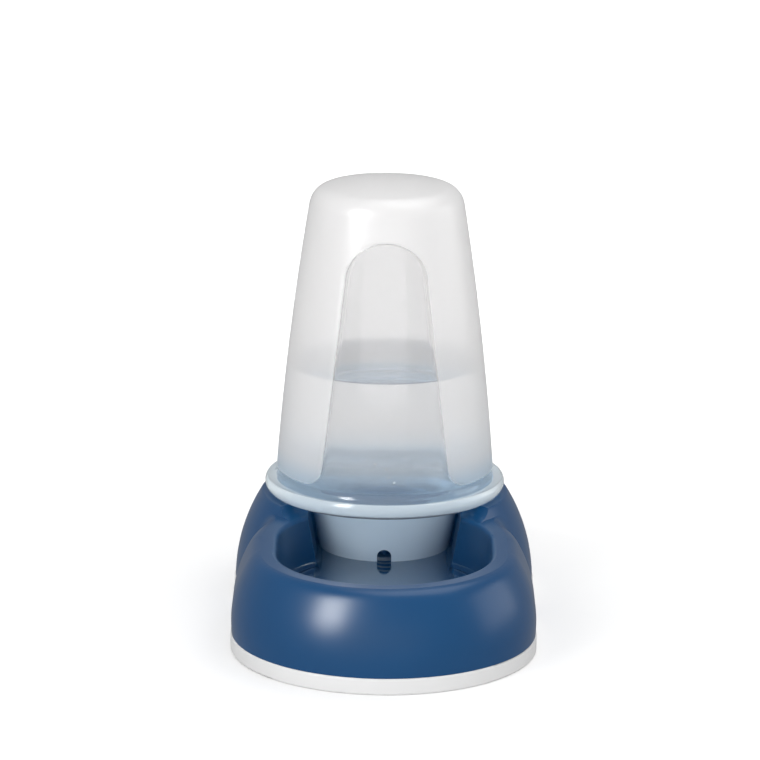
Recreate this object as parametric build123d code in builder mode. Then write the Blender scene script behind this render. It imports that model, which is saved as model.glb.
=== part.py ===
from build123d import *
import math
import os

# Gravity pet water dispenser: an upturned clear tank feeds an open bowl through a valve in its closure.
# Millimetres, +Z up, +Y to the back. The origin is on the floor, under the middle of the object.

# The two round lobes of the base, seen from above
front_radius = 87.0  # bowl lobe at the floor
rear_radius = 88.5  # tank lobe at the floor
lobe_distance = 112.0  # centre of the bowl lobe to the axis of the tank
front_run = 30.0  # straight run in the sides of the bowl lobe
waist_radius = 22.0  # hollow round where the lobes meet
front_y = front_radius - (front_radius + lobe_distance + rear_radius) / 2
tank_y = front_y + lobe_distance

# Non-slip ring round the foot
ring_height = 9.5
ring_wall = 2.6  # in front of the shell's skirt
ring_foot_width = 7.0
ring_foot_thickness = 3.0
ring_round = 1.2

# Base shell
shell_step = 0.6  # the shell stands this far inside the ring's face
shell_wall = 2.5
skirt_clearance = 0.2
rim_height = 56.0
rim_crease_inset = 17.0  # flat rim band to the ring's face, seen from above
shoulder_height = 50.0  # where the side starts to turn over to the rim band
shoulder_inset = 9.4
wall_bow_height = 35.5  # middle of the bowed side of the bowl lobe
wall_bow_inset = 3.2
turn_height = 53.4
turn_inset = 12.2
rear_bow_height = 39.0  # middle of the bowed side of the tank lobe
rear_bow_inset = 5.6
deck_height = 61.3  # seat of the tank
deck_inset = 16.1
deck_round = 1.6
deck_ease_run = 12.0  # the deck eases down to the bowl's lip over this run
side_sections = 7  # outlines lofted from the ring to the rim
side_crowding = 0.8  # below 1 they crowd towards the rim
cutter_overrun = 1.0  # cutting shapes run this far past what they cut

# Bowl, throat and well: the space that holds the drinking water
floor_height = 13.0
basin_radius = 61.0  # at the rim band
basin_draft = 3.0  # how far its wall leans in, from rim to floor
basin_run = 27.0  # straight run in its sides
basin_floor_round = 8.0
basin_lip_round = 2.4
throat_half_width = 44.5  # at the rim band
throat_draft = 7.5
well_clearance = 2.5  # round the neck

# Ribs under the rim, and the post that lifts the valve
rib_thickness = 2.0
rib_foot_height = 14.0
bowl_rib_count = 6
bowl_rib_start = 200.0  # degrees, round the front of the bowl lobe
bowl_rib_sweep = 140.0
tank_rib_count = 7
tank_rib_start = -20.0  # degrees, round the back of the tank lobe
tank_rib_sweep = 220.0
post_radius = 4.0
post_fin_reach = 9.0
post_fin_thickness = 2.0
post_gap = 0.3  # under the stem of the valve

# Closure: neck, bead, funnel and valve cup
seat_clearance = 0.2
neck_top_radius = 45.0
neck_bottom_radius = 38.5
neck_bottom_height = 27.5
closure_wall = 2.0
closure_foot_radius = 66.0
bead_radius = 70.5
bead_height = 67.0
lip_radius = 69.2  # top of the bead
lip_height = 70.8
lip_round = 0.7
dish_depth = 1.0  # the top falls from the lip to the tank
socket_radius = 64.2  # takes the tank's skirt
ledge_height = 64.0
ledge_inner_radius = 58.0
cup_radius = 31.0
cup_rim_height = 60.0
valve_seat_height = 50.0
port_radius = 20.0
hub_radius = 8.5
hub_depth = 3.0
spoke_thickness = 2.2
spoke_count = 3
notch_width = 8.3
notch_height = 8.0

# Bayonet between tank and closure
lug_count = 3
lug_angle = 14.0
lug_reach = 1.8
lug_height = 2.0
lug_rise = 0.5  # above the foot of the skirt
lug_clearance = 0.4
twist_angle = 45.0

# Tank
skirt_radius = 63.5
skirt_wall = 2.5
flare_foot_share = 5.6 / 10.9  # from the skirt's foot to the raised sides; above it the skirt narrows
flare_hollow = 0.4
raised_foot_height = 76.3  # the raised sides end here
tank_low_radius = 63.7  # of the raised sides at their foot
tank_side_bow = 2.0  # the side stands this far out of straight at half height
tank_top_height = 248.1
tank_corner_radius = 43.7  # where side and dome would meet
tank_corner_round = 13.0
dome_rise = 5.4
tank_wall = 2.4

# Sunk arched panels in the front and back of the tank
panel_depth = 1.1
panel_foot_half_width = 37.6
panel_top_half_width = 23.8
panel_top_drop = 28.3  # top of the arch, below the top of the tank
raised_corner_round = 12.0  # lower corners of the raised sides

# Gasket
gasket_thickness = 1.3
gasket_clearance = 0.1
gasket_reach = 1.0  # inside the tank's skirt

# Valve
valve_travel = 4.0
valve_gap = 0.2  # left between seal and seat when shut
plate_radius = 29.0
plate_thickness = 2.4
plate_crown = 1.0
seal_inner_radius = 21.0
seal_outer_radius = 26.0
seal_thickness = 2.0
seal_fit = 0.1
stem_radius = 4.5
stem_clearance = 0.5
stem_end_radius = 3.1
stem_head_radius = 3.8
stem_head_height = 1.4
stem_bottom_height = 33.0
retainer_radius = 9.5
retainer_thickness = 2.0
retainer_fit = 0.15
spring_radius = 6.6
spring_wire_radius = 0.55
wire_sides = 6
spring_turns = 4
spring_gap = 0.1

panel_spring_height = tank_top_height - panel_top_drop - panel_top_half_width
tank_axis = Axis((0, tank_y, 0), (0, 0, 1))
tank_section = Plane.XZ.offset(-tank_y)
shell_foot_height = ring_foot_thickness + skirt_clearance
space_top = deck_height + cutter_overrun
skirt_foot_height = ledge_height + gasket_thickness + gasket_clearance
flare_foot_height = skirt_foot_height + flare_foot_share * (raised_foot_height - skirt_foot_height)
lug_low = skirt_foot_height + lug_rise
lug_high = lug_low + lug_height


def circle_through(first, middle, last):
    """Centre and radius of the circle through three points."""
    (x1, y1), (x2, y2), (x3, y3) = first, middle, last
    d = 2 * (x1 * (y2 - y3) + x2 * (y3 - y1) + x3 * (y1 - y2))
    s1, s2, s3 = x1**2 + y1**2, x2**2 + y2**2, x3**2 + y3**2
    cx = (s1 * (y2 - y3) + s2 * (y3 - y1) + s3 * (y1 - y2)) / d
    cy = (s1 * (x3 - x2) + s2 * (x1 - x3) + s3 * (x2 - x1)) / d
    return Vector(cx, cy), math.hypot(x1 - cx, y1 - cy)


def arc_radius(height, low, middle, high):
    """Radius at a height of the round profile through three (radius, height) points."""
    centre, radius = circle_through(low, middle, high)
    return centre.X + math.sqrt(radius**2 - (height - centre.Y) ** 2)


def dome_radius(edge_radius, rise):
    """Radius of the ball whose cap has this edge and rise."""
    return (edge_radius**2 + rise**2) / (2 * rise)


def towards(centre, radius, *points):
    """Point of a circle in the middle direction of the points, seen from its centre."""
    middle = sum(((point - centre).normalized() for point in points), Vector())
    return centre + middle.normalized() * radius


# Profile points of the two lobes, as (radius, height)
front_foot = (front_radius - shell_step, ring_height)
front_bow = (front_radius - wall_bow_inset, wall_bow_height)
front_shoulder = (front_radius - shoulder_inset, shoulder_height)
front_turn = (front_radius - turn_inset, turn_height)
front_crease = (front_radius - rim_crease_inset, rim_height)
rear_foot = (rear_radius - shell_step, ring_height)
rear_bow = (rear_radius - rear_bow_inset, rear_bow_height)
rear_deck = (rear_radius - deck_inset, deck_height)


def front_at(height):
    """Radius of the bowl lobe's side at a height."""
    if height <= shoulder_height:
        return arc_radius(height, front_foot, front_bow, front_shoulder)
    return arc_radius(height, front_shoulder, front_turn, front_crease)


def rear_at(height):
    """Radius of the tank lobe's side at a height."""
    return arc_radius(height, rear_foot, rear_bow, rear_deck)


def lobes(height, front, rear):
    """Outline of both lobes, joined at a rounded waist."""
    with BuildSketch(Plane.XY.offset(height)) as outline:
        with Locations((0, front_y + front_run / 2)):
            SlotCenterToCenter(front_run, 2 * front, rotation=90)
        with Locations((0, tank_y)):
            Circle(rear)
        waist_span = (front_y + front_run + cutter_overrun, tank_y - cutter_overrun)
        waist = outline.vertices().filter_by_position(Axis.Y, *waist_span)
        fillet(waist, waist_radius)
    return outline.sketch


def lobed_side(inset, top):
    """The bowed outside of the base between the ring and a height, moved in by a wall."""
    shares = [(i / side_sections) ** side_crowding for i in range(side_sections + 1)]
    heights = [ring_height + (top - ring_height) * share for share in shares]
    with BuildPart() as side:
        loft([lobes(h, front_at(h) - inset, rear_at(h) - inset) for h in heights])
    return side.part


def bowl_section(grow, y):
    """Half section of the bowl on a plane across it: floor, round corner, wall, lip, eased deck."""
    floor = floor_height - grow
    low = (basin_radius - basin_draft + grow, floor)
    lip_foot = (basin_radius + grow, rim_height - basin_lip_round - grow)
    lip = (basin_radius + basin_lip_round + grow, rim_height - grow)
    eased = (basin_radius + basin_lip_round + deck_ease_run, deck_height - grow)
    with BuildSketch(Plane.XZ.offset(-y)) as section:
        with BuildLine():
            Line(low, lip_foot)
            TangentArc(lip_foot, lip, tangent=(0, 1))
            TangentArc(lip, eased, tangent=(1, 0))
            Polyline(eased, (eased[0], space_top), (0, space_top), (0, floor), low)
        make_face()
        corner = section.vertices().group_by(Axis.Y)[0].sort_by(Axis.X)[-1]
        fillet(corner, basin_floor_round + grow)
    return section.sketch


def well_radius(height):
    """Radius of the well, which follows the neck at the clearance."""
    slope = (neck_top_radius - neck_bottom_radius) / (deck_height - neck_bottom_height)
    return neck_bottom_radius + slope * (height - neck_bottom_height) + well_clearance


def throat_half(height):
    """Half width of the throat between bowl and well."""
    share = (rim_height - height) / (rim_height - floor_height)
    return throat_half_width - throat_draft * share


def water_space(grow):
    """Bowl, throat and well as one solid, grown by a wall for the outside of the bowl."""
    ends = (floor_height - grow, space_top)
    throats, wells = [], []
    for height in ends:
        with BuildSketch(Plane.XY.offset(height)) as throat:
            with Locations((0, front_y + (basin_run + lobe_distance) / 2)):
                Rectangle(2 * (throat_half(height) + grow), lobe_distance - basin_run)
        throats.append(throat.sketch)
        with BuildSketch(Plane.XY.offset(height)) as well:
            with Locations((0, tank_y)):
                Circle(well_radius(height) + grow)
        wells.append(well.sketch)
    section = bowl_section(grow, front_y)
    with BuildPart() as space:
        for y in (front_y, front_y + basin_run):
            revolve(bowl_section(grow, y), axis=Axis((0, y, 0), (0, 0, 1)))
        extrude(section, amount=-basin_run)
        extrude(mirror(section, about=Plane.YZ), amount=-basin_run)
        loft(throats)
        loft(wells)
    return space.part


def ring_sector(inner, outer, low, high, angle, middle):
    """Part of a ring about the vertical axis through the origin, centred on an angle."""
    with BuildPart() as sector:
        with BuildSketch(Plane.XZ):
            with Locations(((inner + outer) / 2, (low + high) / 2)):
                Rectangle(outer - inner, high - low)
        revolve(axis=Axis.Z, revolution_arc=angle)
    return sector.part.rotate(Axis.Z, middle - angle / 2)


os.makedirs("parts", exist_ok=True)

# Non-slip ring: a soft foot whose wall hides the bottom of the shell
with BuildPart() as nonslip_ring:
    extrude(lobes(0, front_radius, rear_radius), amount=ring_height)
    rims = nonslip_ring.faces().filter_by(Axis.Z).edges()
    fillet(rims, ring_round)
    extrude(
        lobes(0, front_radius - ring_foot_width, rear_radius - ring_foot_width),
        amount=ring_height,
        mode=Mode.SUBTRACT,
    )
    extrude(
        lobes(ring_foot_thickness, front_radius - ring_wall, rear_radius - ring_wall),
        amount=ring_height,
        mode=Mode.SUBTRACT,
    )
nonslip_ring.part.label = "nonslip_ring"
export_step(nonslip_ring.part, "parts/nonslip_ring.step")

# Base shell: bowed sides, rim band and raised deck round one water space, hollow underneath
skirt_inset = ring_wall + skirt_clearance
with BuildPart() as hollow:
    add(lobed_side(shell_wall, rim_height - shell_wall))
    skirt_inner = skirt_inset + shell_wall
    extrude(
        lobes(0, front_radius - skirt_inner, rear_radius - skirt_inner),
        amount=ring_height,
    )
    with BuildSketch(tank_section):
        under_deck = deck_height - shell_wall
        with BuildLine():
            Polyline(
                (0, rim_height - 2 * shell_wall),
                (rear_at(rim_height) - shell_wall, rim_height - 2 * shell_wall),
                (rear_at(deck_height) - shell_wall, under_deck),
                (0, under_deck),
                close=True,
            )
        make_face()
    revolve(axis=tank_axis)
    add(water_space(shell_wall), mode=Mode.SUBTRACT)
    with BuildSketch(Plane.XY.offset(rib_foot_height)):
        bowl_ribs = (bowl_rib_count, bowl_rib_start, bowl_rib_sweep)
        tank_ribs = (tank_rib_count, tank_rib_start, tank_rib_sweep)
        for y, radius, ribs in ((front_y, front_radius, bowl_ribs), (tank_y, rear_radius, tank_ribs)):
            with Locations((0, y)):
                with PolarLocations(radius / 2, *ribs, endpoint=True):
                    Rectangle(radius, rib_thickness)
    extrude(amount=deck_height, mode=Mode.SUBTRACT)

with BuildPart() as base_shell:
    add(lobed_side(0, rim_height))
    extrude(
        lobes(shell_foot_height, front_radius - skirt_inset, rear_radius - skirt_inset),
        amount=ring_height - shell_foot_height,
    )
    deck_middle = (rim_height + deck_height) / 2
    with BuildSketch(tank_section) as deck:
        with BuildLine():
            ThreePointArc(
                (rear_at(rim_height), rim_height),
                (rear_at(deck_middle), deck_middle),
                rear_deck,
            )
            Polyline(
                rear_deck,
                (0, deck_height),
                (0, rim_height),
                (rear_at(rim_height), rim_height),
            )
        make_face()
        fillet(deck.vertices().group_by(Axis.Y)[-1].sort_by(Axis.X)[-1], deck_round)
    revolve(axis=tank_axis)
    add(water_space(0), mode=Mode.SUBTRACT)
    add(hollow.part, mode=Mode.SUBTRACT)
    with BuildSketch(Plane.XY.offset(floor_height)):
        with Locations((0, tank_y)):
            Circle(post_radius)
            Rectangle(2 * post_fin_reach, post_fin_thickness)
            Rectangle(post_fin_thickness, 2 * post_fin_reach)
    extrude(amount=stem_bottom_height - post_gap - floor_height)
base_shell.part.label = "base_shell"
export_step(base_shell.part, "parts/base_shell.step")

# Closure: bead, socket for the tank, funnel, valve cup and the neck that hangs in the well
foot_height = deck_height + seat_clearance
funnel_slope = (ledge_height - cup_rim_height) / (ledge_inner_radius - cup_radius)
neck_inner_top = neck_top_radius - closure_wall
cup_outer_radius = cup_radius + closure_wall
cup_foot_height = valve_seat_height - closure_wall


def funnel_under(radius):
    """Height of the funnel's underside at a radius."""
    return cup_rim_height + funnel_slope * (radius - cup_radius) - closure_wall


lug_slack = math.degrees(lug_clearance / skirt_radius)

with BuildPart() as closure:
    with BuildSketch(tank_section) as section:
        with BuildLine():
            ThreePointArc(
                (lip_radius, lip_height),
                (bead_radius, bead_height),
                (closure_foot_radius, foot_height),
            )
            Polyline(
                (closure_foot_radius, foot_height),
                (neck_top_radius, foot_height),
                (neck_bottom_radius, neck_bottom_height),
                (neck_bottom_radius - closure_wall, neck_bottom_height),
                (neck_inner_top, funnel_under(neck_inner_top)),
                (cup_outer_radius, funnel_under(cup_outer_radius)),
                (cup_outer_radius, cup_foot_height),
                (port_radius, cup_foot_height),
                (port_radius, valve_seat_height),
                (cup_radius, valve_seat_height),
                (cup_radius, cup_rim_height),
                (ledge_inner_radius, ledge_height),
                (socket_radius, ledge_height),
                (socket_radius, lip_height - dish_depth),
                (lip_radius, lip_height),
            )
        make_face()
        fillet(section.vertices().group_by(Axis.Y)[-1], lip_round)
    revolve(axis=tank_axis)
    with BuildSketch(Plane.XY.offset(valve_seat_height - hub_depth)) as spider:
        with Locations((0, tank_y)):
            Circle(hub_radius)
            with PolarLocations(port_radius / 2, spoke_count, start_angle=90):
                Rectangle(port_radius + cutter_overrun, spoke_thickness)
            Circle(stem_radius + stem_clearance, mode=Mode.SUBTRACT)
    extrude(amount=hub_depth)
    notch_straight = notch_height - notch_width / 2
    with BuildSketch(tank_section):
        with Locations((0, neck_bottom_height + notch_straight / 2)):
            Rectangle(notch_width, notch_straight)
        with Locations((0, neck_bottom_height + notch_straight)):
            Circle(notch_width / 2)
    extrude(amount=neck_top_radius, mode=Mode.SUBTRACT)
    groove_outer = skirt_radius + lug_reach + lug_clearance
    for turn in range(lug_count):
        middle = 90 + turn * 360 / lug_count
        groove = ring_sector(
            skirt_radius - cutter_overrun,
            groove_outer,
            lug_low - lug_clearance,
            lug_high + lug_clearance,
            lug_angle + twist_angle + 2 * lug_slack,
            middle - twist_angle / 2,
        )
        entry = ring_sector(
            skirt_radius - cutter_overrun,
            groove_outer,
            lug_low - lug_clearance,
            lip_height + cutter_overrun,
            lug_angle + 2 * lug_slack,
            middle - twist_angle,
        )
        with Locations((0, tank_y, 0)):
            add(groove, mode=Mode.SUBTRACT)
            add(entry, mode=Mode.SUBTRACT)
closure.part.label = "closure"
export_step(closure.part, "parts/closure.step")

# Gasket: lies on the closure's ledge under the rim of the tank
with BuildPart() as closure_gasket:
    with BuildSketch(Plane.XY.offset(ledge_height)):
        with Locations((0, tank_y)):
            Circle(socket_radius - skirt_clearance)
            Circle(skirt_radius - skirt_wall - gasket_reach, mode=Mode.SUBTRACT)
    extrude(amount=gasket_thickness)
closure_gasket.part.label = "closure_gasket"
export_step(closure_gasket.part, "parts/closure_gasket.step")

# Tank: thin domed shell with raised sides, sunk arched panels and a skirt with bayonet lugs
corner_height = tank_top_height - dome_rise
side_middle_radius = (tank_low_radius + tank_corner_radius) / 2 + tank_side_bow
side_centre, side_radius = circle_through(
    (tank_low_radius, raised_foot_height),
    (side_middle_radius, (raised_foot_height + corner_height) / 2),
    (tank_corner_radius, corner_height),
)
top_radius = dome_radius(tank_corner_radius, dome_rise)
top_centre = Vector(0, tank_top_height - top_radius)

# Centre of the corner round: it lies inside both the side and the dome by its radius
between = top_centre - side_centre
side_reach, top_reach = side_radius - tank_corner_round, top_radius - tank_corner_round
along = (side_reach**2 - top_reach**2 + between.length**2) / (2 * between.length)
across = math.sqrt(side_reach**2 - along**2)
between = between.normalized()
corner_centre = side_centre + between * along + between.rotate(Axis.Z, 90) * across


def tank_skin(inset):
    """The tank's outside above the foot of its raised sides, moved in by a depth, as a solid."""
    side = side_radius - inset
    low = Vector(
        side_centre.X + math.sqrt(side**2 - (raised_foot_height - side_centre.Y) ** 2),
        raised_foot_height,
    )
    side_end = towards(side_centre, side, corner_centre)
    dome_start = towards(top_centre, top_radius - inset, corner_centre)
    top = Vector(0, tank_top_height - inset)
    with BuildPart() as skin:
        with BuildSketch(tank_section):
            with BuildLine():
                ThreePointArc(low, towards(side_centre, side, low, side_end), side_end)
                corner = towards(corner_centre, tank_corner_round - inset, side_end, dome_start)
                ThreePointArc(side_end, corner, dome_start)
                ThreePointArc(
                    dome_start, towards(top_centre, top_radius - inset, dome_start, top), top
                )
                Polyline(top, (0, raised_foot_height), low)
            make_face()
        revolve(axis=tank_axis)
    return skin.part


def tank_foot(inset, skirt):
    """Flare and skirt below the raised sides, moved in by a depth, with the skirt's own radius."""
    neck = (tank_low_radius - inset, raised_foot_height)
    flare = (skirt, flare_foot_height)
    hollow_radius = (neck[0] + flare[0]) / 2 - flare_hollow
    with BuildPart() as foot:
        with BuildSketch(tank_section):
            with BuildLine():
                ThreePointArc(
                    neck, (hollow_radius, (raised_foot_height + flare_foot_height) / 2), flare
                )
                Polyline(
                    flare, (skirt, skirt_foot_height), (0, skirt_foot_height), (0, neck[1]), neck
                )
            make_face()
        revolve(axis=tank_axis)
    return foot.part


def panel_cut():
    """The sliver between the tank's outside and the sunk face, inside the arched outline."""
    spread = panel_foot_half_width + raised_corner_round + cutter_overrun
    below = raised_foot_height - cutter_overrun
    with BuildPart() as cut:
        with BuildSketch(tank_section) as arch:
            with BuildLine():
                ThreePointArc(
                    (panel_top_half_width, panel_spring_height),
                    (0, panel_spring_height + panel_top_half_width),
                    (-panel_top_half_width, panel_spring_height),
                )
                Polyline(
                    (-panel_top_half_width, panel_spring_height),
                    (-panel_foot_half_width, raised_foot_height),
                    (-spread, raised_foot_height),
                    (-spread, below),
                    (spread, below),
                    (spread, raised_foot_height),
                    (panel_foot_half_width, raised_foot_height),
                    (panel_top_half_width, panel_spring_height),
                )
            make_face()
            corners = arch.vertices().group_by(Axis.Y)[1].sort_by(Axis.X)[1:3]
            fillet(corners, raised_corner_round)
        extrude(amount=tank_low_radius + cutter_overrun, both=True)
        add(tank_skin(panel_depth), mode=Mode.SUBTRACT)
        add(tank_foot(panel_depth, skirt_radius), mode=Mode.SUBTRACT)
    return cut.part


with BuildPart() as tank:
    add(tank_skin(0))
    add(tank_foot(panel_depth, skirt_radius))
    add(panel_cut(), mode=Mode.SUBTRACT)
    add(tank_skin(tank_wall), mode=Mode.SUBTRACT)
    add(tank_foot(tank_wall, skirt_radius - skirt_wall), mode=Mode.SUBTRACT)
    lug_root = skirt_radius - skirt_wall / 2
    lug = ring_sector(lug_root, skirt_radius + lug_reach, lug_low, lug_high, lug_angle, 90)
    with Locations((0, tank_y, 0)):
        with PolarLocations(0, lug_count):
            add(lug)
tank.part.label = "tank"
export_step(tank.part, "parts/tank.step")

# Valve plate: domed disc and guided stem, held up by the post of the base
seal_foot_height = valve_seat_height + valve_gap + valve_travel
plate_foot_height = seal_foot_height + seal_thickness
retainer_foot_height = stem_bottom_height + stem_head_height
retainer_top_height = retainer_foot_height + retainer_thickness
with BuildPart() as valve_plate:
    with BuildSketch(tank_section):
        plate_edge = Vector(plate_radius, plate_foot_height + plate_thickness)
        crown = Vector(0, plate_edge.Y + plate_crown)
        crown_radius = dome_radius(plate_radius, plate_crown)
        crown_centre = crown - Vector(0, crown_radius)
        with BuildLine():
            crown_middle = towards(crown_centre, crown_radius, crown, plate_edge)
            ThreePointArc(crown, crown_middle, plate_edge)
            Polyline(
                plate_edge,
                (plate_radius, plate_foot_height),
                (seal_inner_radius - seal_fit, plate_foot_height),
                (seal_inner_radius - seal_fit, plate_foot_height - seal_thickness / 2),
                (stem_radius, plate_foot_height - seal_thickness / 2),
                (stem_radius, retainer_top_height),
                (stem_end_radius, retainer_top_height),
                (stem_end_radius, retainer_foot_height),
                (stem_head_radius, retainer_foot_height),
                (stem_end_radius, stem_bottom_height),
                (0, stem_bottom_height),
                crown,
            )
        make_face()
    revolve(axis=tank_axis)
valve_plate.part.label = "valve_plate"
export_step(valve_plate.part, "parts/valve_plate.step")

# Valve seal: soft ring under the plate
with BuildPart() as valve_seal:
    with BuildSketch(Plane.XY.offset(seal_foot_height)):
        with Locations((0, tank_y)):
            Circle(seal_outer_radius)
            Circle(seal_inner_radius, mode=Mode.SUBTRACT)
    extrude(amount=seal_thickness)
valve_seal.part.label = "valve_seal"
export_step(valve_seal.part, "parts/valve_seal.step")

# Spring retainer: snapped on the end of the stem
with BuildPart() as spring_retainer:
    with BuildSketch(Plane.XY.offset(retainer_foot_height)):
        with Locations((0, tank_y)):
            Circle(retainer_radius)
            Circle(stem_end_radius + retainer_fit, mode=Mode.SUBTRACT)
    extrude(amount=retainer_thickness)
spring_retainer.part.label = "spring_retainer"
export_step(spring_retainer.part, "parts/spring_retainer.step")

# Valve spring: pulls the plate down on its seat when the tank is lifted off, its wire six-sided
spring_low = retainer_top_height + spring_gap + spring_wire_radius
spring_high = valve_seat_height - hub_depth - spring_gap - spring_wire_radius
spring_height = spring_high - spring_low
with BuildPart() as valve_spring:
    with BuildLine() as coil:
        Helix(
            pitch=spring_height / spring_turns,
            height=spring_height,
            radius=spring_radius,
            center=(0, tank_y, spring_low),
        )
    with BuildSketch(Plane(coil.line @ 0, z_dir=coil.line % 0)):
        RegularPolygon(spring_wire_radius, wire_sides)
    sweep(path=coil.line, is_frenet=True)
valve_spring.part.label = "valve_spring"
export_step(valve_spring.part, "parts/valve_spring.step")
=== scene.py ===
import math

import bpy
from mathutils import Matrix, Vector


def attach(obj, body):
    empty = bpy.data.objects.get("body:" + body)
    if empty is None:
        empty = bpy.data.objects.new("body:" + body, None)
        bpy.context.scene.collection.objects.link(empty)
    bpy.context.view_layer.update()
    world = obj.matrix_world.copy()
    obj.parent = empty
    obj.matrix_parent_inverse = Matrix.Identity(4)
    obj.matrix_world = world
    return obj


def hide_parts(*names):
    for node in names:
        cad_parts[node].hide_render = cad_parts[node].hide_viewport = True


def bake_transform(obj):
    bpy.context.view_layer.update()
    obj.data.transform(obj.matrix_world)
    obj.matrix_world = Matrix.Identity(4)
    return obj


# Gravity pet water dispenser: blue two-lobed base, white foot ring, milky tank and closure, water.
# +Z up, the bowl towards -Y. Sizes are in millimetres and become metres where a mesh is made.

MM = 0.001
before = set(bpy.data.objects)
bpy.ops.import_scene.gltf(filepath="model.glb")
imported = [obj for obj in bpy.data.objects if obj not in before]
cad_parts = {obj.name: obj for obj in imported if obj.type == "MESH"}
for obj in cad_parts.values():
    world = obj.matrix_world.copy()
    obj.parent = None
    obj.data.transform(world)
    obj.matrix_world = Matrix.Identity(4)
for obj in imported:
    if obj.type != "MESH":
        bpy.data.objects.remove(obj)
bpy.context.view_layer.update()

# Bowl, throat and well of the base
BOWL_Y = -56.75  # centre of the bowl lobe
TANK_Y = 55.25  # axis of the tank
FLOOR_HEIGHT = 13.0  # floor of the bowl
RIM_HEIGHT = 56.0
BASIN_RADIUS = 61.0  # at the rim
BASIN_DRAFT = 3.0
BASIN_RUN = 27.0
BASIN_ROUND = 8.0  # between floor and wall
THROAT_HALF = 44.5  # at the rim
THROAT_DRAFT = 7.5
THROAT_MIDDLE = 24.0  # inside both the basin's and the well's outline
WELL_LOW = 38.2  # radius of the well at the floor of the bowl
WELL_SLOPE = 0.192

# Tank, its section made of a side circle, a dome circle and a round between them
RAISED_FOOT = 76.3  # the raised sides end here
LOW_RADIUS = 63.7  # of the raised sides at their foot
SIDE_BOW = 2.0
TANK_TOP = 248.1
CORNER_RADIUS = 43.7  # where side and dome would meet
CORNER_ROUND = 13.0
DOME_RISE = 5.4
WALL = 2.4
SKIRT_RADIUS = 63.5
SKIRT_WALL = 2.5
SKIRT_LOW = 65.4
SKIRT_BEVEL = 0.5
FLARE_FOOT = 71.0  # above it the skirt narrows to the foot of the side
FLARE_HOLLOW = 0.4
LUG_COUNT = 3
LUG_ROOT = 0.4  # the lugs start this deep in the skirt
LUG_REACH = 1.8
LUG_LOW = 65.9
LUG_HIGH = 67.9
LUG_ANGLE = 14.0

# Sunk arched window in the front and back of the tank, between raised sides
WINDOW_DEPTH = 1.1
WINDOW_EDGE = 0.5  # half the width of its rounded step
WINDOW_FOOT_HALF = 37.6  # half width at the foot of the raised sides
ARCH_RADIUS = 23.8
ARCH_SPRING = 196.0  # there the round top starts
RAISED_ROUND = 12.0  # lower corners of the raised sides

# Mesh of the tank
WINDOW_SHARES = (0.25, 0.5, 0.75, 0.92)  # columns inside the window, by its half width
EDGE_STEPS = (-1, -0.5, 0, 0.5, 1)  # columns over the window's edge, by half its width
SIDE_COLUMNS = 16
STRAIGHT_ROWS = 22
OVER_ROWS = 5
INSIDE_ROWS = 24
COLUMN_GAP = 0.05
ROW_GAP = 0.12
SHARP_ANGLE = math.radians(40)  # edges turned more than this stay sharp

# Closure, valve and spring
FOOT_HEIGHT = 61.5  # underside of the closure's flange
NECK_INNER = 35.5  # the neck's walls lie between these radii
NECK_OUTER = 46.0
LEDGE_HEIGHT = 64.0
GASKET_INNER = 60.0
FUNNEL_OUTER = 58.0
CUP_RADIUS = 31.0  # of the cup round the valve plate
CUP_RIM = 60.0
PLATE_TOP = ((0.0, 59.6), (15.0, 59.35), (29.2, 58.6))  # radius and height on the valve plate
SPRING_RADIUS = 6.6
SPRING_WIRE = 0.55
SPRING_LOW = 37.05
SPRING_HIGH = 46.35
SPRING_TURNS = 4

# Contents
TANK_WATER = 138.7  # surface of the water in the tank
BOWL_WATER = 28.0
WATER_LAP = 0.15  # the water reaches this far into the walls, so that no air lies between
TANK_RISE = 1.1  # how far the water climbs the tank's wall
TANK_MENISCUS = ((0.5, 0.7), (1.2, 0.3), (2.4, 0.05), (3.2, 0.01), (4.2, 0.0), (8.0, 0.0))
BOWL_MENISCUS = ((7.0, 0.0), (3.4, 0.0), (1.8, 0.05), (0.8, 0.3), (-WATER_LAP, 0.7))
BOWL_ROWS = (27.0, 24.0, 21.0, 18.0, 16.0, 14.6, 13.6)  # closer together at the floor's round
BOWL_LOWEST = 0.05  # row just above the floor
BUBBLE_Y = 1.2  # centres of the bubbles behind the front wall
BUBBLE_HEIGHT = 90.0  # middle of the group

# Painted blue light at the foot of the tank, standing in for the blue base seen through its milky
# wall, and the deeper painted blue at its back, standing in for the base seen through the water;
# each as colour, height below which it is full and height above which there is none
FOOT_PAINTED_BLUE_LIGHT = ((0.60, 0.71, 0.80), 74.0, 92.0)
BACK_PAINTED_BLUE_LIGHT = ((0.50, 0.62, 0.73), 74.0, 78.5)

# Camera, fitted to the photograph's ellipses
CAMERA_PLACE = Vector((-3.25, -2320.65, 740.6))
CAMERA_AIM = Vector((0.0, 0.96829, -0.24983))
CAMERA_ROLL = math.radians(0.485)
CAMERA_LENS = 197.9  # on a 36 mm sensor

# Studio, in metres and watts
AMBIENT = 0.65  # even light of the surroundings on the object
MIRRORED = 0.36  # how bright the surroundings are in a mirrored ray
GLOW_NEAR = 0.19  # of the floor where the eye sees it, so that it is white beside the object
GLOW_FAR = 0.60
GLOW_START = 0.20  # from the middle of the object
GLOW_END = 0.60
FLOOR_HALF = 9.0
LAMP_TARGET = (0, 0, 0.1)
KEY_PLACE = (-1.15, -1.25, 0.95)


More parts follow.
